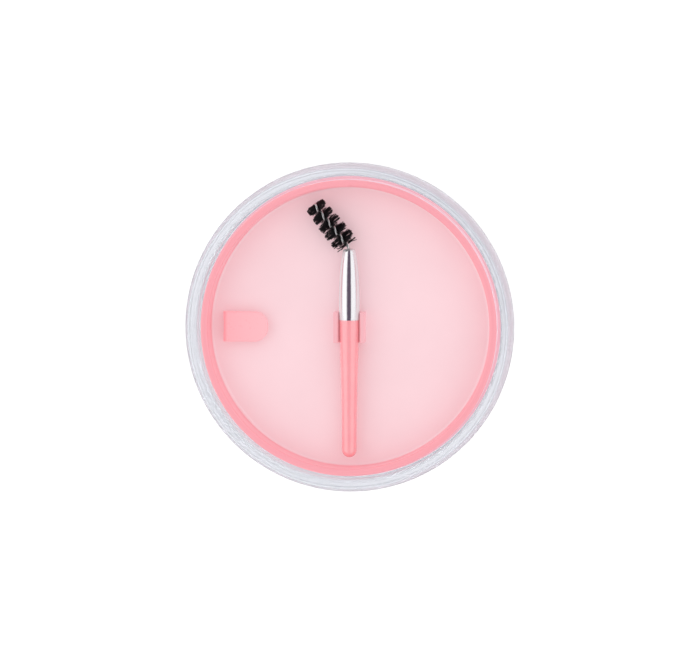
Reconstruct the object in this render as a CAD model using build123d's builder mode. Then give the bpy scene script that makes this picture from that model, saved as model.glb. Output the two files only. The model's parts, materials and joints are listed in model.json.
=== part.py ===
"""Round clear dish with a plug-in inner lid, which carries a clipped spoolie brush and a pull tab.

Millimetres, +Z up, origin at the centre of the dish's foot. The brush lies along Y, its handle
towards -Y, and the pull tab lies on the lid's floor at -X.
"""

import os
from math import asin, atan2, cos, degrees, hypot, radians, sin

from build123d import *

# ---------------------------------------------------------------- dish
dish_radius = 33.0  # at the widest point, just below the rim
dish_height = 20.0
rim_width = 2.6  # from the lid's seat out to the widest point
lip_radius = 0.9  # rounding of the rim's inner side, up to its crest
shoulder_drop = 3.2  # from the crest down to the widest point
side_radius = 14.0  # long curve that leads the sloping side into the shoulder
base_inset = 3.8  # how far the side slopes in, from the widest point to the base
base_rounding = 2.5
foot_width = 3.2
foot_recess = 0.6
floor_thickness = 1.8
ledge_width = 2.1  # step that the lid's flange rests on
throat_depth = 3.6  # straight stretch of the well that the lid's plug fits in
well_draft = 2.7  # how far the well narrows below the throat
well_rounding = 4.0

# ---------------------------------------------------------------- inner lid
recess_depth = 5.8  # from the rim down to the lid's floor
lid_floor = 1.2
flange_clearance = 0.2
flange_width = 0.55
lid_wall = 1.45
lid_wall_rounding = 0.45
lid_floor_rounding = 0.7
plug_depth = 3.2
plug_wall = 2.15
plug_clearance = 0.15

# ---------------------------------------------------------------- sealing ring
seal_section = 1.2  # diameter of the ring's round section
seal_clearance = 0.05  # to the throat and to the groove
groove_height = 1.4
groove_drop = 0.9  # from the ledge down to the groove

# ---------------------------------------------------------------- pull tab
tab_length = 9.0
tab_width = 6.0
tab_corner = 2.6
tab_edge = 0.25
tab_wall_gap = 2.7  # from the lid's wall to the tab's straight edge
tab_floor_gap = 0.1  # from the lid's floor to the tab's barrel
barrel_radius = 1.15
lug_radius = 0.6
lug_width = 2.4
neck_width = 0.6
trunnion_radius = 0.4
trunnion_length = 0.9
pivot_clearance = 0.08  # lug in its pocket, all round
trunnion_clearance = 0.05
skin_end_angle = 150.0  # where the tab's skin over the lug ends
pocket_end_angle = 345.0

# ---------------------------------------------------------------- brush
handle_wall_gap = 2.1  # from the handle's end to the lid's wall
brush_radius = 2.0  # where the handle meets the ferrule
handle_middle_radius = 1.73
handle_end_radius = 1.5
handle_middle_reach = 11.0  # from the ferrule's edge to the middle radius
joint_offset = 1.5  # the ferrule's edge, from the middle of the clip
tenon_clearance = 0.1
tenon_length = 5.0
stem_socket_depth = 2.0  # of the wire's hole, below the ferrule's edge
ferrule_belly_radius = 2.1
ferrule_belly_reach = 2.2
ferrule_shoulder_radius = 1.32
ferrule_shoulder_drop = 0.75
ferrule_wall = 0.22
mouth_lip = 0.25  # flat ring round the mouth's hole
mouth_clearance = 0.1  # to the ball of the wire's bend
wire_radius = 0.5  # round both strands of the twisted wire
wire_clearance = 0.05
neck_radius = 0.55  # ball at the bend of the wire
neck_gap = 0.2  # from the ferrule's mouth to the bend
bend_angle = 39.0  # of the spoolie from the handle's axis, towards -X
spoolie_length = 11.3  # from the bend to the wire's tip
straight_tip_gap = 1.0  # from the tip to the lid's wall with the bend straightened
bristle_radius = 2.5
bristle_tip_radius = 1.8
bristle_start = 0.9
bristle_tip_margin = 0.35
bristle_floor_gap = 0.15
bristle_root_radius = 0.7
tuft_width = 0.8
tuft_pitch = 4.05  # of the twisted wire, one whole turn
tuft_offset = 0.25  # from the bend to where the bristles first point to both sides
tufts_per_turn = 12
bristle_clearance = 0.02

# ---------------------------------------------------------------- brush clip
clip_clearance = 0.05
clip_jaw = 0.95
clip_length = 6.1
clip_height = 3.9
clip_lead_in = 0.25

# ---------------------------------------------------------------- worked out from the sizes above
seat_radius = dish_radius - rim_width
crest_radius = seat_radius + lip_radius
throat_radius = seat_radius - ledge_width
widest_height = dish_height - shoulder_drop
base_radius = dish_radius - base_inset
foot_outer_radius = base_radius - base_rounding
lid_top_of_floor = dish_height - recess_depth
ledge_height = lid_top_of_floor - lid_floor
well_floor_height = foot_recess + floor_thickness
flange_radius = seat_radius - flange_clearance
lid_wall_outer = flange_radius - flange_width
recess_radius = lid_wall_outer - lid_wall
plug_radius = throat_radius - plug_clearance
seal_radius = throat_radius - seal_clearance - seal_section / 2
groove_radius = seal_radius - seal_section / 2 - seal_clearance
groove_top = ledge_height - groove_drop
seal_height = groove_top - groove_height / 2
axis_height = lid_top_of_floor + bristle_radius + bristle_floor_gap
bend_y = recess_radius - straight_tip_gap - spoolie_length
mouth_y = bend_y - neck_gap
tenon_y = joint_offset + tenon_length
handle_end_y = handle_wall_gap - recess_radius
tenon_radius = brush_radius - ferrule_wall - tenon_clearance
mouth_hole_radius = neck_radius + mouth_clearance
clip_bore_radius = max(brush_radius, ferrule_belly_radius) + clip_clearance
tab_edge_x = tab_wall_gap - recess_radius
pivot_x = tab_edge_x + barrel_radius
pivot_height = lid_top_of_floor + tab_floor_gap + barrel_radius
pocket_width = lug_width + 2 * pivot_clearance
pocket_reach = 3 * barrel_radius  # well past the outside of the barrel

# Local x and y run along X and Z, with the hinge at the middle.
hinge_plane = Plane(origin=(pivot_x, 0, pivot_height), x_dir=(1, 0, 0), z_dir=(0, -1, 0))
brush_axis = Axis((0, 0, axis_height), (0, 1, 0))
# Local x runs along the brush and local y is the distance from its axis.
brush_plane = Plane(origin=(0, 0, axis_height), x_dir=(0, 1, 0), z_dir=(1, 0, 0))
spoolie_plane = Plane(
    origin=(0, bend_y, axis_height),
    x_dir=(cos(radians(bend_angle)), sin(radians(bend_angle)), 0),
    z_dir=(-sin(radians(bend_angle)), cos(radians(bend_angle)), 0),
)


def corner(sketch, x, y):
    """The vertex of an open sketch that is nearest to a point."""
    return sketch.vertices().sort_by_distance(Vector(x, y))[0]


def side_tangent():
    """Angle below level at which the sloping side meets the curve under the shoulder."""
    across = dish_radius - side_radius - base_radius
    up = widest_height
    return atan2(up, across) - asin(side_radius / hypot(across, up))


# ---------------------------------------------------------------- dish
slope = side_tangent()
with BuildPart() as dish:
    with BuildSketch(Plane.XZ) as dish_profile:
        with BuildLine():
            side_curve = CenterArc(
                (dish_radius - side_radius, widest_height),
                side_radius,
                degrees(slope) - 90,
                90 - degrees(slope),
            )
            Polyline(
                (0, foot_recess),
                (foot_outer_radius - foot_width, foot_recess),
                (foot_outer_radius - foot_width, 0),
                (base_radius, 0),
                side_curve @ 0,
            )
            EllipticalCenterArc(
                (crest_radius, widest_height),
                dish_radius - crest_radius,
                shoulder_drop,
                arc_size=90,
            )
            CenterArc((crest_radius, dish_height - lip_radius), lip_radius, 90, 90)
            Polyline(
                (seat_radius, dish_height - lip_radius),
                (seat_radius, ledge_height),
                (throat_radius, ledge_height),
                (throat_radius, ledge_height - throat_depth),
                (throat_radius - well_draft, well_floor_height),
                (0, well_floor_height),
                (0, foot_recess),
            )
        make_face()
        fillet(corner(dish_profile, base_radius, 0), base_rounding)
        fillet(corner(dish_profile, throat_radius - well_draft, well_floor_height), well_rounding)
    revolve(axis=Axis.Z)

# ---------------------------------------------------------------- inner lid
plug_inner_radius = plug_radius - plug_wall
with BuildPart() as inner_lid:
    with BuildSketch(Plane.XZ) as lid_profile:
        with BuildLine():
            Polyline(
                (0, ledge_height),
                (plug_inner_radius, ledge_height),
                (plug_inner_radius, ledge_height - plug_depth),
                (plug_radius, ledge_height - plug_depth),
                (plug_radius, groove_top - groove_height),
                (groove_radius, groove_top - groove_height),
                (groove_radius, groove_top),
                (plug_radius, groove_top),
                (plug_radius, ledge_height),
                (flange_radius, ledge_height),
                (flange_radius, lid_top_of_floor),
                (lid_wall_outer, lid_top_of_floor),
                (lid_wall_outer, dish_height),
                (recess_radius, dish_height),
                (recess_radius, lid_top_of_floor),
                (0, lid_top_of_floor),
                close=True,
            )
        make_face()
        fillet(corner(lid_profile, lid_wall_outer, dish_height), lid_wall_rounding)
        fillet(corner(lid_profile, recess_radius, dish_height), lid_wall_rounding)
        fillet(corner(lid_profile, recess_radius, lid_top_of_floor), lid_floor_rounding)
    revolve(axis=Axis.Z)

    # Clip: a cradle with two upright jaws, which the brush lifts out of.
    with BuildSketch(Plane.XZ) as clip_profile:
        with Locations((0, lid_top_of_floor)):
            Rectangle(
                2 * (clip_bore_radius + clip_jaw),
                clip_height,
                align=(Align.CENTER, Align.MIN),
            )
        with Locations((0, axis_height)):
            Circle(clip_bore_radius, mode=Mode.SUBTRACT)
            Rectangle(
                2 * clip_bore_radius,
                clip_height,
                align=(Align.CENTER, Align.MIN),
                mode=Mode.SUBTRACT,
            )
        jaw_top = lid_top_of_floor + clip_height
        for side in (-1, 1):
            chamfer(corner(clip_profile, side * clip_bore_radius, jaw_top), clip_lead_in)
    extrude(amount=clip_length / 2, both=True)

    # Lug with two trunnions, which the pull tab snaps onto.
    with BuildSketch(hinge_plane):
        Circle(lug_radius)
        Rectangle(
            neck_width,
            pivot_height - lid_top_of_floor,
            align=(Align.CENTER, Align.MAX),
        )
    extrude(amount=lug_width / 2, both=True)
    with BuildSketch(hinge_plane):
        Circle(trunnion_radius)
    extrude(amount=lug_width / 2 + trunnion_length, both=True)

# ---------------------------------------------------------------- sealing ring
with BuildPart() as seal_ring:
    with BuildSketch(Plane.XZ):
        with Locations((seal_radius, seal_height)):
            Circle(seal_section / 2)
    revolve(axis=Axis.Z)

# ---------------------------------------------------------------- pull tab
with BuildPart() as pull_tab:
    with BuildSketch(Plane.XY.offset(pivot_height)) as tab_outline:
        with Locations((pivot_x, 0)):
            Rectangle(tab_length - barrel_radius, tab_width, align=(Align.MIN, Align.CENTER))
        fillet(tab_outline.vertices().group_by(Axis.X)[-1], tab_corner)
    extrude(amount=barrel_radius)
    fillet(pull_tab.faces().sort_by(Axis.Z)[-1].edges().sort_by(Axis.X)[1:], tab_edge)
    with BuildSketch(hinge_plane):
        Circle(barrel_radius)
    extrude(amount=tab_width / 2, both=True)

    # Pocket over the lug, open below and behind so that its neck clears as the tab turns.
    first, last = radians(skin_end_angle), radians(pocket_end_angle)
    with BuildSketch(hinge_plane):
        Circle(lug_radius + pivot_clearance)
        with BuildLine():
            Polyline(
                (0, 0),
                (pocket_reach * cos(first), pocket_reach * sin(first)),
                (-pocket_reach, 0),
                (-pocket_reach, -pocket_reach),
                (pocket_reach, -pocket_reach),
                (pocket_reach * cos(last), pocket_reach * sin(last)),
                close=True,
            )
        make_face()
    extrude(amount=pocket_width / 2, both=True, mode=Mode.SUBTRACT)
    with BuildSketch(hinge_plane):
        Circle(trunnion_radius + trunnion_clearance)
    extrude(
        amount=lug_width / 2 + trunnion_length + pivot_clearance,
        both=True,
        mode=Mode.SUBTRACT,
    )

# ---------------------------------------------------------------- brush handle
with BuildPart() as brush_handle:
    with BuildSketch(brush_plane):
        with BuildLine():
            CenterArc((handle_end_y + handle_end_radius, 0), handle_end_radius, 90, 90)
            Spline(
                (handle_end_y + handle_end_radius, handle_end_radius),
                (joint_offset - handle_middle_reach, handle_middle_radius),
                (joint_offset, brush_radius),
                tangents=((1, 0), (1, 0)),
            )
            Polyline(
                (joint_offset, brush_radius),
                (joint_offset, tenon_radius),
                (tenon_y, tenon_radius),
                (tenon_y, wire_radius + wire_clearance),
                (joint_offset - stem_socket_depth, wire_radius + wire_clearance),
                (joint_offset - stem_socket_depth, 0),
                (handle_end_y, 0),
            )
        make_face()
    revolve(axis=brush_axis)


# ---------------------------------------------------------------- ferrule
def ferrule_profile(inset, mouth_radius):
    """Half of the ferrule's lengthwise section, as much smaller all round as inset says."""
    start = (joint_offset, brush_radius - inset)
    belly = (joint_offset + ferrule_belly_reach, ferrule_belly_radius - inset)
    shoulder = (mouth_y - ferrule_shoulder_drop - inset, ferrule_shoulder_radius - inset)
    mouth = (mouth_y - inset, mouth_radius)
    with BuildSketch(brush_plane) as profile:
        with BuildLine():
            Spline(start, belly, tangents=((1, 0.08), (1, 0)))
            Spline(belly, shoulder, tangents=((1, 0), (1, -0.2)))
            Spline(shoulder, mouth, tangents=((1, -0.2), (0.25, -1)))
            Polyline(mouth, (mouth[0], 0), (start[0], 0), start)
        make_face()
    return profile.sketch


with BuildPart() as brush_ferrule:
    revolve(ferrule_profile(0, mouth_hole_radius + mouth_lip), axis=brush_axis)
    revolve(ferrule_profile(ferrule_wall, mouth_hole_radius), axis=brush_axis, mode=Mode.SUBTRACT)
    with BuildSketch(Plane.XZ.offset(-mouth_y)):
        with Locations((0, axis_height)):
            Circle(mouth_hole_radius)
    extrude(amount=2 * ferrule_wall, mode=Mode.SUBTRACT)

# ---------------------------------------------------------------- wire in the ferrule
stem_start_y = joint_offset - stem_socket_depth + wire_clearance
stem_end_y = bend_y - neck_radius - wire_clearance
with BuildPart() as wire_stem:
    with BuildSketch(Plane.XZ.offset(-stem_start_y)):
        with Locations((0, axis_height)):
            Circle(wire_radius)
    extrude(amount=stem_start_y - stem_end_y)

# ---------------------------------------------------------------- wire of the spoolie
with BuildPart(spoolie_plane) as spoolie_wire:
    Sphere(neck_radius)
    Cylinder(
        wire_radius,
        spoolie_length,
        align=(Align.CENTER, Align.CENTER, Align.MIN),
    )

# ---------------------------------------------------------------- bristles
bristle_length = spoolie_length - bristle_tip_margin - bristle_start
tuft_step = tuft_pitch / tufts_per_turn
tuft_count = round(bristle_length / tuft_step)
with BuildPart() as spoolie_bristles:
    for tuft in range(tuft_count):
        share = tuft / (tuft_count - 1)
        reach = bristle_radius + (bristle_tip_radius - bristle_radius) * share**2
        place = bristle_start + tuft * tuft_step
        turn = 360 * (place - tuft_offset) / tuft_pitch
        with BuildSketch(spoolie_plane.offset(place)):
            Rectangle(2 * reach, tuft_width, rotation=turn)
            Circle(bristle_root_radius)
        extrude(amount=tuft_step)
    with BuildSketch(spoolie_plane):
        Circle(wire_radius + bristle_clearance)
    extrude(amount=spoolie_length, mode=Mode.SUBTRACT)

# ---------------------------------------------------------------- files
pieces = {
    "dish": dish,
    "inner_lid": inner_lid,
    "seal_ring": seal_ring,
    "pull_tab": pull_tab,
    "brush_handle": brush_handle,
    "brush_ferrule": brush_ferrule,
    "wire_stem": wire_stem,
    "spoolie_wire": spoolie_wire,
    "spoolie_bristles": spoolie_bristles,
}
os.makedirs("parts", exist_ok=True)
for name, piece in pieces.items():
    piece.part.label = name
    export_step(piece.part, f"parts/{name}.step")
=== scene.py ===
import json
import math
import random

import bmesh
import bpy
from mathutils import Matrix, Vector


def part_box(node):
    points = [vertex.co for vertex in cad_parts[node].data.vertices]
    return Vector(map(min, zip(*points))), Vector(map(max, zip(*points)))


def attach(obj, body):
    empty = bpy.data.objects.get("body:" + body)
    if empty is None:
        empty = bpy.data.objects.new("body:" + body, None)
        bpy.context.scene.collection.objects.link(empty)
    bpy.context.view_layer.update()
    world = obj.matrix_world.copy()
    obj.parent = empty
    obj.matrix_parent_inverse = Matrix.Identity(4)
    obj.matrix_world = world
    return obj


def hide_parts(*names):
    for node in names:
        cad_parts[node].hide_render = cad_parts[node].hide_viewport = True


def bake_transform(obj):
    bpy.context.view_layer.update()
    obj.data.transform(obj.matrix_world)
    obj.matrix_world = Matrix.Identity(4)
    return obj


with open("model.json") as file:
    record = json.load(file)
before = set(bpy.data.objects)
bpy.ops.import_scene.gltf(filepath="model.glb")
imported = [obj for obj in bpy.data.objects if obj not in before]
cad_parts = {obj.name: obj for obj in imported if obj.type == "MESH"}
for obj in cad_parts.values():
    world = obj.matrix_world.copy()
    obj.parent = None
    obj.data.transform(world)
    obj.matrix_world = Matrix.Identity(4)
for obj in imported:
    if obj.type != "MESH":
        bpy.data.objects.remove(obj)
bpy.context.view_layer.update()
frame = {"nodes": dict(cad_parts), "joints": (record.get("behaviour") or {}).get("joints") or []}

nodes = frame["nodes"]
mm = 0.001


# ---- places that the frame gives

def jointPlace(name):
    for joint in frame["joints"]:
        if joint["name"] == name:
            return Vector(joint.get("pos_m", (0, 0, 0)))
    raise KeyError(name)


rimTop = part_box("dish")[1].z
tabGap = 0.1 * mm  # between the tab and the lid's floor
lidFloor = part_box("pull_tab")[0].z - tabGap
headBend = jointPlace("head_bend")


# ---- small helpers

def sRgb(red, green, blue):  # 0 to 255 as a colour picker shows, to linear
    def lin(value):
        value /= 255
        return value / 12.92 if value <= 0.04045 else ((value + 0.055) / 1.055) ** 2.4
    return (lin(red), lin(green), lin(blue), 1)


def newMaterial(name):
    material = bpy.data.materials.new(name)
    material.use_nodes = True
    tree = material.node_tree
    shader = tree.nodes["Principled BSDF"]
    return material, tree, shader


def addNode(tree, kind, **settings):
    node = tree.nodes.new(kind)
    for key, value in settings.items():
        if key in node.inputs:
            node.inputs[key].default_value = value
        else:
            setattr(node, key, value)
    return node


def objectCoords(tree, centre=(0, 0, 0), turn=(0, 0, 0), scale=(1, 1, 1)):
    # millimetres round a chosen centre, so that pattern sizes read in real units
    coords = addNode(tree, "ShaderNodeTexCoord")
    mapping = addNode(tree, "ShaderNodeMapping", vector_type="TEXTURE")
    mapping.inputs["Location"].default_value = centre
    mapping.inputs["Rotation"].default_value = turn
    mapping.inputs["Scale"].default_value = [mm * s for s in scale]
    tree.links.new(coords.outputs["Object"], mapping.inputs["Vector"])
    return mapping.outputs["Vector"]


def ramp(tree, value, stops, interpolation="LINEAR"):
    node = addNode(tree, "ShaderNodeValToRGB")
    node.color_ramp.interpolation = interpolation
    while len(node.color_ramp.elements) < len(stops):
        node.color_ramp.elements.new(0.5)
    for element, (place, colour) in zip(node.color_ramp.elements, stops):
        element.position = place
        element.color = colour if len(colour) == 4 else (*colour, 1)
    tree.links.new(value, node.inputs["Fac"])
    return node.outputs["Color"]


def grey(value):
    return (value, value, value, 1)


def noise(tree, vector, scale, detail=2.0, roughness=0.5):
    node = addNode(tree, "ShaderNodeTexNoise", Scale=scale, Detail=detail, Roughness=roughness)
    tree.links.new(vector, node.inputs["Vector"])
    return node.outputs["Fac"]


def rangeOf(tree, value, low, high, outLow, outHigh):
    node = addNode(tree, "ShaderNodeMapRange")
    node.inputs["From Min"].default_value = low
    node.inputs["From Max"].default_value = high
    node.inputs["To Min"].default_value = outLow
    node.inputs["To Max"].default_value = outHigh
    tree.links.new(value, node.inputs["Value"])
    return node.outputs["Result"]


def bump(tree, shader, height, distance, strength=1.0):
    node = addNode(tree, "ShaderNodeBump")
    node.inputs["Strength"].default_value = strength
    node.inputs["Distance"].default_value = distance
    tree.links.new(height, node.inputs["Height"])
    tree.links.new(node.outputs["Normal"], shader.inputs["Normal"])
    return node


def blendTone(tree, share, first, second):  # each a colour or a socket
    mix = addNode(tree, "ShaderNodeMix", data_type="RGBA")
    tree.links.new(share, mix.inputs[0])
    for socket, tone in ((mix.inputs[6], first), (mix.inputs[7], second)):
        if isinstance(tone, tuple):
            socket.default_value = tone
        else:
            tree.links.new(tone, socket)
    return mix.outputs[2]


def wear(name, material):  # puts a finish on a CAD node
    for index in range(len(nodes[name].data.materials)):
        nodes[name].data.materials[index] = material


def finishMesh(bm, name, material, smooth=True):
    mesh = bpy.data.meshes.new(name)
    bm.to_mesh(mesh)
    bm.free()
    for face in mesh.polygons:
        face.use_smooth = smooth
    piece = bpy.data.objects.new(name, mesh)
    bpy.context.scene.collection.objects.link(piece)
    piece.data.materials.append(material)
    return piece


# ---- finishes

clearPlastic = {
    "tint": sRgb(236, 239, 241),
    "shade": sRgb(236, 238, 242),  # of the light that it lets straight through
    "edgeShade": sRgb(146, 158, 168),  # of the same light where the wall is seen edge on
    "straight": 0.5,  # share of the light that isn't bent
    "roughness": (0.03, 0.05),
    "ior": 1.49,
    "edgeOn": (0.76, 0.98),  # facing, from square on (0) to edge on (1), over which it darkens
}


def makeClearPlastic():
    material, tree, shader = newMaterial("clearPlastic")
    shader.inputs["Base Color"].default_value = clearPlastic["tint"]
    shader.inputs["Transmission Weight"].default_value = 1.0
    shader.inputs["IOR"].default_value = clearPlastic["ior"]
    place = objectCoords(tree)
    haze = noise(tree, place, 0.12, detail=4)
    rough = rangeOf(tree, haze, 0.35, 0.7, *clearPlastic["roughness"])
    tree.links.new(rough, shader.inputs["Roughness"])
    # lamps shine through the wall instead of leaving a hard shadow
    path = addNode(tree, "ShaderNodeLightPath")
    lamps = addNode(tree, "ShaderNodeMath", operation="MAXIMUM")
    tree.links.new(path.outputs["Is Shadow Ray"], lamps.inputs[0])
    tree.links.new(path.outputs["Is Diffuse Ray"], lamps.inputs[1])
    soft = addNode(tree, "ShaderNodeMath", operation="MAXIMUM")
    tree.links.new(lamps.outputs[0], soft.inputs[0])
    soft.inputs[1].default_value = clearPlastic["straight"]
    through = addNode(tree, "ShaderNodeBsdfTransparent")
    facing = addNode(tree, "ShaderNodeLayerWeight", Blend=0.5).outputs["Facing"]
    edgeOn = rangeOf(tree, facing, *clearPlastic["edgeOn"], 0, 1)
    shade = blendTone(tree, edgeOn, clearPlastic["shade"], clearPlastic["edgeShade"])
    tree.links.new(shade, through.inputs["Color"])
    mix = addNode(tree, "ShaderNodeMixShader")
    tree.links.new(soft.outputs[0], mix.inputs[0])
    tree.links.new(shader.outputs[0], mix.inputs[1])
    tree.links.new(through.outputs[0], mix.inputs[2])
    tree.links.new(mix.outputs[0], tree.nodes["Material Output"].inputs["Surface"])
    return material


pinkLid = {
    "floor": sRgb(224, 194, 199),
    "floorDark": sRgb(221, 191, 196),
    # painted light: the wall and jaw tones stand in for the deeper colour seen through more plastic
    "wall": sRgb(221, 145, 154),
    "jaw": sRgb(218, 161, 168),
    # painted light: a lighter tone that lifts the shade in the gap under the clear rim
    "flange": sRgb(233, 186, 194),
    "flangeWidth": 0.56,  # mm that the flange stands out from the wall
    "flangeBlend": 0.03,  # mm over which its tone sets in
    "paintedGlow": 0.3,  # painted light: an emission that stands for the light that the plastic passes on from below and lifts the shade in the recess
    "raised": (0.05, 0.45),  # mm above the floor, where the tone grows stronger
    "jawReach": 10.0,  # mm from the middle, inside which a raised part is the clip
    "roughness": (0.28, 0.32),
}


def makePinkLid():
    material, tree, shader = newMaterial("pinkLid")
    place = objectCoords(tree, centre=(0, 0, lidFloor))
    split = addNode(tree, "ShaderNodeSeparateXYZ")
    tree.links.new(place, split.inputs[0])
    flat = addNode(tree, "ShaderNodeCombineXYZ")
    tree.links.new(split.outputs["X"], flat.inputs["X"])
    tree.links.new(split.outputs["Y"], flat.inputs["Y"])
    radius = addNode(tree, "ShaderNodeVectorMath", operation="LENGTH")
    tree.links.new(flat.outputs[0], radius.inputs[0])
    fromMiddle, height = radius.outputs["Value"], split.outputs["Z"]
    cloud = noise(tree, place, 0.06, detail=3)
    tone = ramp(tree, cloud, [(0.35, pinkLid["floor"]), (0.7, pinkLid["floorDark"])])
    # painted light: raised parts are painted a stronger pink, standing in for the deeper colour seen
    # through more plastic
    raised = rangeOf(tree, height, *pinkLid["raised"], 0, 1)
    farOut = rangeOf(tree, fromMiddle, pinkLid["jawReach"], pinkLid["jawReach"] + 1, 0, 1)
    paintedDepthTone = blendTone(tree, farOut, pinkLid["jaw"], pinkLid["wall"])
    tone = blendTone(tree, raised, tone, paintedDepthTone)
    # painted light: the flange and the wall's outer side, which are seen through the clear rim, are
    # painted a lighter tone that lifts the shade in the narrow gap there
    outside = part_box("inner_lid")[1].x / mm - pinkLid["flangeWidth"]
    beyond = rangeOf(tree, fromMiddle, outside - pinkLid["flangeBlend"], outside, 0, 1)
    tone = blendTone(tree, beyond, tone, pinkLid["flange"])
    tree.links.new(tone, shader.inputs["Base Color"])
    fine = noise(tree, place, 0.2, detail=2)
    tree.links.new(rangeOf(tree, fine, 0.3, 0.7, *pinkLid["roughness"]), shader.inputs["Roughness"])
    shader.inputs["IOR"].default_value = 1.49
    # painted light: the lid glows in its own tone, which lifts its shade
    tree.links.new(tone, shader.inputs["Emission Color"])
    shader.inputs["Emission Strength"].default_value = pinkLid["paintedGlow"]
    bump(tree, shader, noise(tree, place, 0.15, detail=1), 0.004 * mm, 0.3)
    return material


pinkTab = {
    "root": sRgb(231, 160, 167),
    "tip": sRgb(225, 166, 172),
    # painted light: an emission that stands for light passed on from below and lifts the shade round the
    # tab
    "paintedGlow": 0.3,
    "roughness": (0.25, 0.4),
}


def makePinkTab():
    material, tree, shader = newMaterial("pinkTab")
    low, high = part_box("pull_tab")
    place = objectCoords(tree, centre=(low.x, 0, low.z))
    split = addNode(tree, "ShaderNodeSeparateXYZ")
    tree.links.new(place, split.inputs[0])
    along = rangeOf(tree, split.outputs["X"], 0, (high.x - low.x) / mm, 0, 1)
    tone = ramp(tree, along, [(0.1, pinkTab["root"]), (0.9, pinkTab["tip"])])
    tree.links.new(tone, shader.inputs["Base Color"])
    fine = noise(tree, place, 2.0, detail=4)
    tree.links.new(rangeOf(tree, fine, 0.3, 0.7, *pinkTab["roughness"]), shader.inputs["Roughness"])
    shader.inputs["IOR"].default_value = 1.49
    # painted light: the tab glows in its own tone, which lifts its shade
    tree.links.new(tone, shader.inputs["Emission Color"])
    shader.inputs["Emission Strength"].default_value = pinkTab["paintedGlow"]
    bump(tree, shader, noise(tree, place, 1.5, detail=3), 0.003 * mm, 0.3)
    return material


handlePink = {
    "colour": sRgb(252, 165, 171),
    "deep": sRgb(250, 160, 167),
    "roughness": (0.12, 0.2),
    "ior": 1.6,
    "coatRoughness": 0.08,
    "scatter": 0.2,  # share of the light that spreads under the surface
    "scatterRadius": 0.8,  # mm
}


def makeHandlePink():
    material, tree, shader = newMaterial("handlePink")
    place = objectCoords(tree)
    cloud = noise(tree, place, 0.3, detail=2)
    tone = ramp(tree, cloud, [(0.35, handlePink["colour"]), (0.7, handlePink["deep"])])
    tree.links.new(tone, shader.inputs["Base Color"])
    fine = noise(tree, place, 1.8, detail=4)
    tree.links.new(rangeOf(tree, fine, 0.3, 0.7, *handlePink["roughness"]), shader.inputs["Roughness"])
    shader.inputs["IOR"].default_value = handlePink["ior"]
    shader.inputs["Coat Weight"].default_value = 1.0
    shader.inputs["Coat Roughness"].default_value = handlePink["coatRoughness"]
    shader.inputs["Subsurface Weight"].default_value = handlePink["scatter"]
    shader.inputs["Subsurface Radius"].default_value = (1.0, 0.4, 0.4)
    shader.inputs["Subsurface Scale"].default_value = handlePink["scatterRadius"] * mm
    bump(tree, shader, noise(tree, place, 0.8, detail=2), 0.006 * mm, 0.5)
    return material


ferruleMetal = {
    "colour": sRgb(224, 222, 225),
    "roughness": (0.13, 0.18),
    "paintedFlankMetal": 0.1,  # painted light: the sides are made mostly non-metal so that they read as light grey lit flanks, and the crown is bright metal
    "flank": (0.62, 0.86),  # height above the brush's axis, as a share of the radius there
    "taper": (1.38, 0.062),  # mm, radius at the mouth and its growth for each mm from there
    "lineHeight": 0.003,  # mm, of the fine lines left by the drawing and rolling of the tube
}


def makeFerruleMetal():
    material, tree, shader = newMaterial("ferruleMetal")
    shader.inputs["Base Color"].default_value = ferruleMetal["colour"]
    place = objectCoords(tree, centre=headBend)
    split = addNode(tree, "ShaderNodeSeparateXYZ")
    tree.links.new(place, split.inputs[0])
    mouthRadius, growth = ferruleMetal["taper"]
    radius = addNode(tree, "ShaderNodeMath", operation="MULTIPLY_ADD")
    radius.inputs[1].default_value = -growth
    radius.inputs[2].default_value = mouthRadius
    tree.links.new(split.outputs["Y"], radius.inputs[0])
    share = addNode(tree, "ShaderNodeMath", operation="DIVIDE")
    tree.links.new(split.outputs["Z"], share.inputs[0])
    tree.links.new(radius.outputs[0], share.inputs[1])
    # painted light: metallic by height above the axis, so one metal tube shows light grey flanks and a
    # bright crown
    paintedFlankMetallic = rangeOf(tree, share.outputs[0], *ferruleMetal["flank"], ferruleMetal["paintedFlankMetal"], 1)
    tree.links.new(paintedFlankMetallic, shader.inputs["Metallic"])
    streaks = addNode(tree, "ShaderNodeMapping")
    streaks.inputs["Scale"].default_value = (6, 0.25, 6)  # stretched along the brush
    tree.links.new(place, streaks.inputs["Vector"])
    lines = noise(tree, streaks.outputs["Vector"], 1.6, detail=5)
    tree.links.new(rangeOf(tree, lines, 0.3, 0.7, *ferruleMetal["roughness"]), shader.inputs["Roughness"])
    bump(tree, shader, lines, ferruleMetal["lineHeight"] * mm, 0.2)
    return material


wireSteel = {
    "colour": sRgb(236, 238, 238),
    "dull": sRgb(208, 211, 211),
    "metallic": 0.75,
    "roughness": (0.2, 0.34),
}


def makeWireSteel():
    material, tree, shader = newMaterial("wireSteel")
    place = objectCoords(tree, centre=headBend)
    cloud = noise(tree, place, 1.5, detail=3)
    tone = ramp(tree, cloud, [(0.35, wireSteel["colour"]), (0.7, wireSteel["dull"])])
    tree.links.new(tone, shader.inputs["Base Color"])
    shader.inputs["Metallic"].default_value = wireSteel["metallic"]
    fine = noise(tree, place, 6, detail=4)
    tree.links.new(rangeOf(tree, fine, 0.3, 0.7, *wireSteel["roughness"]), shader.inputs["Roughness"])
    bump(tree, shader, fine, 0.004 * mm, 0.5)
    return material


bristleNylon = {"colour": sRgb(14, 11, 14), "tips": sRgb(44, 40, 44), "roughness": (0.32, 0.5)}


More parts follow.
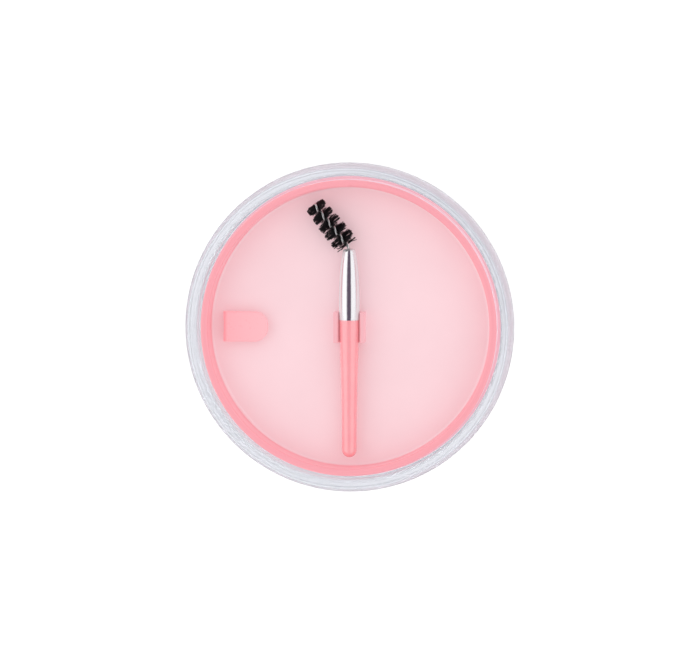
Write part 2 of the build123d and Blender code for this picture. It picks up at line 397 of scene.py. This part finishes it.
def makeBristleNylon():
    material, tree, shader = newMaterial("bristleNylon")
    place = objectCoords(tree, centre=headBend)
    hairs = noise(tree, place, 9, detail=3)
    tone = ramp(tree, hairs, [(0.4, bristleNylon["colour"]), (0.75, bristleNylon["tips"])])
    tree.links.new(tone, shader.inputs["Base Color"])
    tree.links.new(rangeOf(tree, hairs, 0.3, 0.7, *bristleNylon["roughness"]), shader.inputs["Roughness"])
    shader.inputs["IOR"].default_value = 1.53
    shader.inputs["Specular IOR Level"].default_value = 0.25
    bump(tree, shader, noise(tree, place, 14, detail=2), 0.004 * mm, 0.4)
    return material


sealRubber = {"colour": sRgb(240, 234, 234), "roughness": (0.45, 0.65)}


def makeSealRubber():
    material, tree, shader = newMaterial("sealRubber")
    place = objectCoords(tree)
    cloud = noise(tree, place, 0.4, detail=3)
    tone = ramp(tree, cloud, [(0.3, sealRubber["colour"]), (0.8, sRgb(228, 222, 223))])
    tree.links.new(tone, shader.inputs["Base Color"])
    fine = noise(tree, place, 3, detail=4)
    tree.links.new(rangeOf(tree, fine, 0.3, 0.7, *sealRubber["roughness"]), shader.inputs["Roughness"])
    shader.inputs["Subsurface Weight"].default_value = 0.3
    shader.inputs["Subsurface Scale"].default_value = 0.6 * mm
    bump(tree, shader, fine, 0.004 * mm, 0.4)
    return material


wireFinish = makeWireSteel()
bristleFinish = makeBristleNylon()
clearFinish = makeClearPlastic()
wear("dish", clearFinish)
wear("inner_lid", makePinkLid())
wear("pull_tab", makePinkTab())
wear("brush_handle", makeHandlePink())
wear("brush_ferrule", makeFerruleMetal())
wear("seal_ring", makeSealRubber())
wear("wire_stem", wireFinish)
print("finishes made")


# ---- the clear dish, spun from its outline so that light bends evenly all the way round

clearDish = {
    "foot": (23.5, 0.6),  # mm, the foot's inner radius and the recess under the dish
    "base": (29.2, 2.5),  # corner radius and its rounding
    "side": (19.0, 16.8, 14.0),  # middle and radius of the long curve under the shoulder
    "shoulder": (1.7, 3.2),  # half axes of the rim's outer rounding
    "lip": 0.9,
    "seat": 30.4,
    "ledge": 13.0,
    "throat": (28.3, 9.4),
    "wellCorner": (25.6, 2.4, 4.0),
    "steps": 256,  # round the dish
    "edgeLoop": 0.12,  # mm from each end of a straight stretch, keeps its shading flat
    "crease": 30,  # degrees, from which a corner stays sharp
}


def roundedCorner(before, corner, after, radius):
    # the arc's first point, its middle and how far it turns
    inWay, outWay = (corner - before).normalized(), (after - corner).normalized()
    turn = inWay.angle_signed(outWay)
    first = corner - inWay * radius * math.tan(abs(turn) / 2)
    side = Vector((inWay.y, -inWay.x)) if turn > 0 else Vector((-inWay.y, inWay.x))
    return first, first + side * radius, turn


def makeClearDish():
    bm = bmesh.new()
    size = clearDish
    line = []

    def goTo(x, z):
        point = bm.verts.new((x, 0, z))
        if line:
            bm.edges.new((line[-1], point))
        line.append(point)

    def straightTo(x, z):
        start, end = line[-1].co.copy(), Vector((x, 0, z))
        step = (end - start).normalized() * size["edgeLoop"]
        for place in (start + step, end - step, end):
            goTo(place.x, place.z)

    def arcRound(x, z, degrees, steps):
        made = bmesh.ops.spin(
            bm, geom=[line[-1]], cent=(x, 0, z), axis=(0, -1, 0),
            angle=math.radians(degrees), steps=steps, use_duplicate=False)
        last = [item for item in made["geom_last"] if isinstance(item, bmesh.types.BMVert)][0]
        chain = [last]
        while chain[-1] is not line[-1]:
            joined = [edge.other_vert(chain[-1]) for edge in chain[-1].link_edges]
            chain.append([vert for vert in joined if vert not in chain[-2:]][0])
        line.extend(reversed(chain[:-1]))
        return chain[:-1]

    footRadius, recess = size["foot"]
    sideX, sideZ, sideRadius = size["side"]
    baseX, baseRound = size["base"]
    across, up = sideX - baseX, sideZ
    slope = math.atan2(up, across) - math.asin(sideRadius / math.hypot(across, up))
    goTo(0, recess)
    straightTo(footRadius, recess)
    straightTo(footRadius, 0)
    sideStart = Vector((sideX + sideRadius * math.sin(slope), sideZ - sideRadius * math.cos(slope)))
    first, middle, turn = roundedCorner(Vector((footRadius, 0)), Vector((baseX, 0)), sideStart, baseRound)
    straightTo(*first)
    arcRound(*middle, math.degrees(abs(turn)), 10)
    straightTo(*sideStart)
    arcRound(sideX, sideZ, 90 - math.degrees(slope), 16)
    halfWide, halfHigh = size["shoulder"]
    crest = sideX + sideRadius - halfWide
    shoulder = arcRound(crest, sideZ, 90, 18)
    bmesh.ops.scale(bm, vec=(1, 1, halfHigh / halfWide), verts=shoulder,
                    space=Matrix.Translation((-crest, 0, -sideZ)))
    top = sideZ + halfHigh
    arcRound(crest, top - size["lip"], 90, 12)
    straightTo(size["seat"], size["ledge"])
    throatX, throatZ = size["throat"]
    straightTo(throatX, size["ledge"])
    straightTo(throatX, throatZ)
    wellX, wellZ, wellRound = size["wellCorner"]
    first, middle, turn = roundedCorner(
        Vector((throatX, throatZ)), Vector((wellX, wellZ)), Vector((0, wellZ)), wellRound)
    straightTo(*first)
    arcRound(*middle, -math.degrees(abs(turn)), 12)
    straightTo(0, wellZ)

    bmesh.ops.spin(
        bm, geom=bm.verts[:] + bm.edges[:], cent=(0, 0, 0), axis=(0, 0, 1),
        angle=2 * math.pi, steps=size["steps"], use_merge=True, use_duplicate=False)
    bmesh.ops.remove_doubles(bm, verts=bm.verts, dist=0.0005)
    bmesh.ops.recalc_face_normals(bm, faces=bm.faces)
    for edge in bm.edges:
        edge.smooth = edge.calc_face_angle(0) < math.radians(size["crease"])
    bmesh.ops.scale(bm, vec=(mm, mm, mm), verts=bm.verts)
    return finishMesh(bm, "clearDish", clearFinish)


dishPiece = makeClearDish()
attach(dishPiece, "dish")
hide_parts("dish")
print("dish made:", len(dishPiece.data.polygons), "faces")


# ---- the spoolie's frame: local z runs from the bend of the wire to its tip

spoolie = {
    "bend": 39.0,  # degrees from the handle's line, towards -X
    "length": 11.3,  # mm from the bend to the wire's tip
    "pitch": 4.05,  # mm for one whole turn of the twist
    "firstLobe": 0.25,  # mm from the bend to where the bristles first point to both sides
}
bendAngle = math.radians(spoolie["bend"])
headWay = Vector((-math.sin(bendAngle), math.cos(bendAngle), 0))
sideWay = Vector((math.cos(bendAngle), math.sin(bendAngle), 0))
headFrame = Matrix((
    (sideWay.x, 0, headWay.x, headBend.x),
    (sideWay.y, 0, headWay.y, headBend.y),
    (0, -1, 0, headBend.z),
    (0, 0, 0, 1),
))


def turnAt(s):  # of the twist at s mm from the bend
    return 2 * math.pi * (s - spoolie["firstLobe"]) / spoolie["pitch"]


# ---- two strands twisted together

wire = {
    "strandRadius": 0.235,  # mm
    "strandOffset": 0.245,
    "start": -0.9,  # mm, inside the ferrule's mouth
    "bendLength": 0.75,  # mm each side of the bend that the curve takes
    "steps": 20,  # for each whole turn
    "sides": 10,
}


def bendAlong(s, x, y):
    # where a point of the straight wire goes once the wire is bent
    reach = wire["bendLength"]
    if s >= reach:
        return headFrame @ (Vector((x, y, s)) * mm)
    angle = bendAngle * min(1, (reach - s) / (2 * reach))
    turned = Matrix.Rotation(-angle, 3, "Z")
    side = turned @ sideWay
    if s <= -reach:
        spine = headBend + turned @ headWay * s * mm
    else:
        radius = reach / math.tan(bendAngle / 2)
        spine = headBend + (headWay * reach + (side - sideWay) * radius) * mm
    up = headFrame.to_3x3() @ Vector((0, 1, 0))
    return spine + (side * x + up * y) * mm


def makeWire():
    bm = bmesh.new()
    length = spoolie["length"] - wire["start"]
    turns = length / spoolie["pitch"]
    for strand in (0, 1):
        place = Matrix.Translation((0, 0, wire["start"]))
        place = place @ Matrix.Rotation(turnAt(wire["start"]) + math.pi * (strand + 0.5), 4, "Z")
        place = place @ Matrix.Translation((wire["strandOffset"], 0, 0))
        ring = bmesh.ops.create_circle(
            bm, cap_ends=True, segments=wire["sides"], radius=wire["strandRadius"], matrix=place)
        faces = list({face for vert in ring["verts"] for face in vert.link_faces})
        steps = round(wire["steps"] * turns)
        bmesh.ops.spin(
            bm, geom=faces, cent=(0, 0, 0), axis=(0, 0, 1), dvec=(0, 0, length / steps),
            angle=2 * math.pi * turns, steps=steps, use_merge=False, use_duplicate=False)
    bmesh.ops.recalc_face_normals(bm, faces=bm.faces)
    for vert in bm.verts:
        vert.co = bendAlong(vert.co.z, vert.co.x, vert.co.y)
    return finishMesh(bm, "twistedWire", wireFinish)


twistedWire = makeWire()
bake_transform(twistedWire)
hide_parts("spoolie_wire")
print("twisted wire made")


# ---- bristles, each one a thin nylon hair that leaves between the strands

bristles = {
    "start": 0.75,  # mm from the bend
    "end": 11.2,
    "count": 1300,  # on each side
    "clump": 7,  # hairs that stick together at their ends
    "thickness": 0.05,  # mm, radius
    "reach": 2.6,  # mm from the middle
    "tipReach": 2.05,
    "clumpUneven": 0.2,  # how much shorter the shortest clumps are
    "uneven": 0.06,
    "bunching": 0.36,  # how far the hairs gather to the two sides of the twist
    "clumpSpread": 8.0,  # degrees
    "spread": 3.0,
    "clumpFray": 0.22,  # mm that an end may stray along the wire
    "tipOrder": 0.65,  # how much tidier the clumps are at the tip
    "fray": 0.05,
    "curl": 0.05,
}


def makeHair():  # one hair of unit length along z, which is copied for all of them
    hair = bmesh.new()
    bmesh.ops.create_cone(
        hair, cap_ends=True, segments=3, radius1=bristles["thickness"],
        radius2=bristles["thickness"] * 0.8, depth=1, matrix=Matrix.Translation((0, 0, 0.5)))
    long = [edge for edge in hair.edges if abs(edge.verts[0].co.z - edge.verts[1].co.z) > 0.5]
    bmesh.ops.subdivide_edges(hair, edges=long, cuts=2)
    mesh = bpy.data.meshes.new("hair")
    hair.to_mesh(mesh)
    hair.free()
    return mesh


def makeBristles():
    dice = random.Random(11)
    hair = makeHair()
    bm = bmesh.new()
    for index in range(2 * bristles["count"]):
        bm.from_mesh(hair)
    bm.verts.ensure_lookup_table()
    each = len(hair.vertices)
    for index in range(2 * bristles["count"]):
        if index % (2 * bristles["clump"]) == 0:  # the next clump on each side
            clumps = [
                (
                    dice.gauss(0, bristles["clumpSpread"]),
                    dice.random() ** 2,
                    dice.gauss(0, bristles["clumpFray"]),
                )
                for side in (0, 1)
            ]
        clumpTurn, clumpShort, clumpLean = clumps[index % 2]
        share = (index // 2 + dice.random()) / bristles["count"]
        loose = 1 - bristles["tipOrder"] * share
        s = bristles["start"] + share * (bristles["end"] - bristles["start"])
        turn = turnAt(s)
        turn -= bristles["bunching"] * math.sin(2 * turn)
        turn += math.pi * (index % 2) + math.radians(clumpTurn * loose + dice.gauss(0, bristles["spread"]))
        reach = bristles["reach"] + (bristles["tipReach"] - bristles["reach"]) * share ** 2
        reach *= 1 - bristles["clumpUneven"] * clumpShort * loose - bristles["uneven"] * dice.random()
        lean = clumpLean * loose + dice.gauss(0, bristles["fray"])
        curl = dice.gauss(0, bristles["curl"])
        spin = Matrix.Rotation(turn, 3, "Z")
        for vert in bm.verts[index * each:(index + 1) * each]:
            t = vert.co.z
            sideways = vert.co.x + curl * t * t * reach
            vert.co = spin @ Vector((t * reach, sideways, s + vert.co.y + lean * t * t))
    bmesh.ops.transform(bm, matrix=headFrame @ Matrix.Scale(mm, 4), verts=bm.verts)
    bmesh.ops.recalc_face_normals(bm, faces=bm.faces)
    bpy.data.meshes.remove(hair)
    return finishMesh(bm, "bristles", bristleFinish)


bristlePiece = makeBristles()
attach(bristlePiece, "spoolie")
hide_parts("spoolie_bristles")
print("bristles made:", len(bristlePiece.data.polygons), "faces")


# ---- floor, light and camera

studio = {
    "floorSize": 4.0,
    "floorTone": grey(0.35),
    "floorGlow": 0.76,
    "gapTone": (0.12, 0.09, 0.13, 1),
    "sideWalls": (0.9, 0.9, 0.9, 1),
    "endWalls": (0.5, 0.5, 0.52, 1),
    "lowSides": (0.5, 0.51, 0.55, 1),  # just above the horizon
    "lowEnds": (0.22, 0.23, 0.28, 1),
    "worldStrength": 1.2,
    "fill": (0.84, 0.84, 0.84, 1),
    "leftPower": 1.1,
    "rightPower": 0.6,
    "boxSize": (1.3, 0.9),
    "boxDistance": 0.75,
    "gap": 23,  # degrees either side of straight up that stay dark
}


def makeFloor():
    bm = bmesh.new()
    bmesh.ops.create_grid(bm, x_segments=1, y_segments=1, size=studio["floorSize"] / 2)
    material, tree, shader = newMaterial("floorPaper")
    shader.inputs["Base Color"].default_value = studio["floorTone"]
    shader.inputs["Roughness"].default_value = 0.9
    shader.inputs["Emission Color"].default_value = grey(1.0)
    shader.inputs["Emission Strength"].default_value = studio["floorGlow"]
    floor = finishMesh(bm, "floor", material, smooth=False)


def makeSoftbox(name, side, power, lift, forward):
    light = bpy.data.lights.new(name, "AREA")
    light.shape = "RECTANGLE"
    light.size, light.size_y = studio["boxSize"]
    light.energy = power
    lamp = bpy.data.objects.new(name, light)
    tilt = math.radians(lift)
    target = Vector((0, 0, rimTop))
    way = Vector((side * math.sin(tilt), forward, math.cos(tilt))).normalized()
    lamp.location = target + way * studio["boxDistance"]
    lamp.rotation_mode = "QUATERNION"
    back = way
    upright = Vector((0, 1, 0))
    across = upright.cross(back).normalized()
    lamp.rotation_quaternion = Matrix((upright, -across, back)).transposed().to_quaternion()
    bpy.context.scene.collection.objects.link(lamp)


def makeWorld():
    # a bright room with a dark gap straight overhead, and dimmer walls in front and behind
    world = bpy.data.worlds.new("studioRoom")
    bpy.context.scene.world = world
    world.use_nodes = True
    tree = world.node_tree
    back = tree.nodes["Background"]
    way = addNode(tree, "ShaderNodeTexCoord").outputs["Generated"]
    split = addNode(tree, "ShaderNodeSeparateXYZ")
    tree.links.new(way, split.inputs[0])
    sideways = addNode(tree, "ShaderNodeMath", operation="ABSOLUTE")
    tree.links.new(split.outputs["X"], sideways.inputs[0])
    frontways = addNode(tree, "ShaderNodeMath", operation="ABSOLUTE")
    tree.links.new(split.outputs["Y"], frontways.inputs[0])
    steep = addNode(tree, "ShaderNodeMath", operation="DIVIDE")
    tree.links.new(sideways.outputs[0], steep.inputs[0])
    tree.links.new(split.outputs["Z"], steep.inputs[1])
    gapEdge = math.tan(math.radians(studio["gap"]))
    outside = rangeOf(tree, steep.outputs[0], gapEdge - 0.05, gapEdge + 0.05, 0, 1)
    ends = rangeOf(tree, frontways.outputs[0], 0.5, 0.95, 0, 1)
    walls = blendTone(tree, ends, studio["sideWalls"], studio["endWalls"])
    low = rangeOf(tree, split.outputs["Z"], 0.05, 0.35, 1, 0)
    lowWalls = blendTone(tree, ends, studio["lowSides"], studio["lowEnds"])
    walls = blendTone(tree, low, walls, lowWalls)
    room = blendTone(tree, outside, studio["gapTone"], walls)
    # matt surfaces are lit evenly, as through a large diffuser
    matt = addNode(tree, "ShaderNodeLightPath").outputs["Is Diffuse Ray"]
    tree.links.new(blendTone(tree, matt, room, studio["fill"]), back.inputs["Color"])
    back.inputs["Strength"].default_value = studio["worldStrength"]


view = {
    "distance": 0.75,  # m from the rim
    "lean": (0.084, 0.075),  # of the line of sight, towards +X and +Y, for each metre up
    "aim": (0.0004, 0.00032),  # on the plane of the rim
    "frameWidth": 0.1395,  # m across the picture at the rim's height
}


def makeCamera():
    camera = bpy.data.cameras.new("camera")
    camera.sensor_width = 36
    camera.lens = camera.sensor_width * view["distance"] / view["frameWidth"]
    camera.clip_start = 0.05
    holder = bpy.data.objects.new("camera", camera)
    back = Vector((*view["lean"], 1)).normalized()
    upright = (Vector((0, 1, 0)) - back * back.y).normalized()
    across = upright.cross(back)
    holder.location = Vector((*view["aim"], rimTop)) + back * view["distance"]
    holder.rotation_mode = "QUATERNION"
    holder.rotation_quaternion = Matrix((across, upright, back)).transposed().to_quaternion()
    bpy.context.scene.collection.objects.link(holder)
    bpy.context.scene.camera = holder


makeFloor()
makeWorld()
makeSoftbox("leftSoftbox", -1, studio["leftPower"], 58, 0.25)
makeSoftbox("rightSoftbox", 1, studio["rightPower"], 58, 0.0)
makeCamera()
bpy.context.scene.view_settings.view_transform = "Standard"
print("studio made")
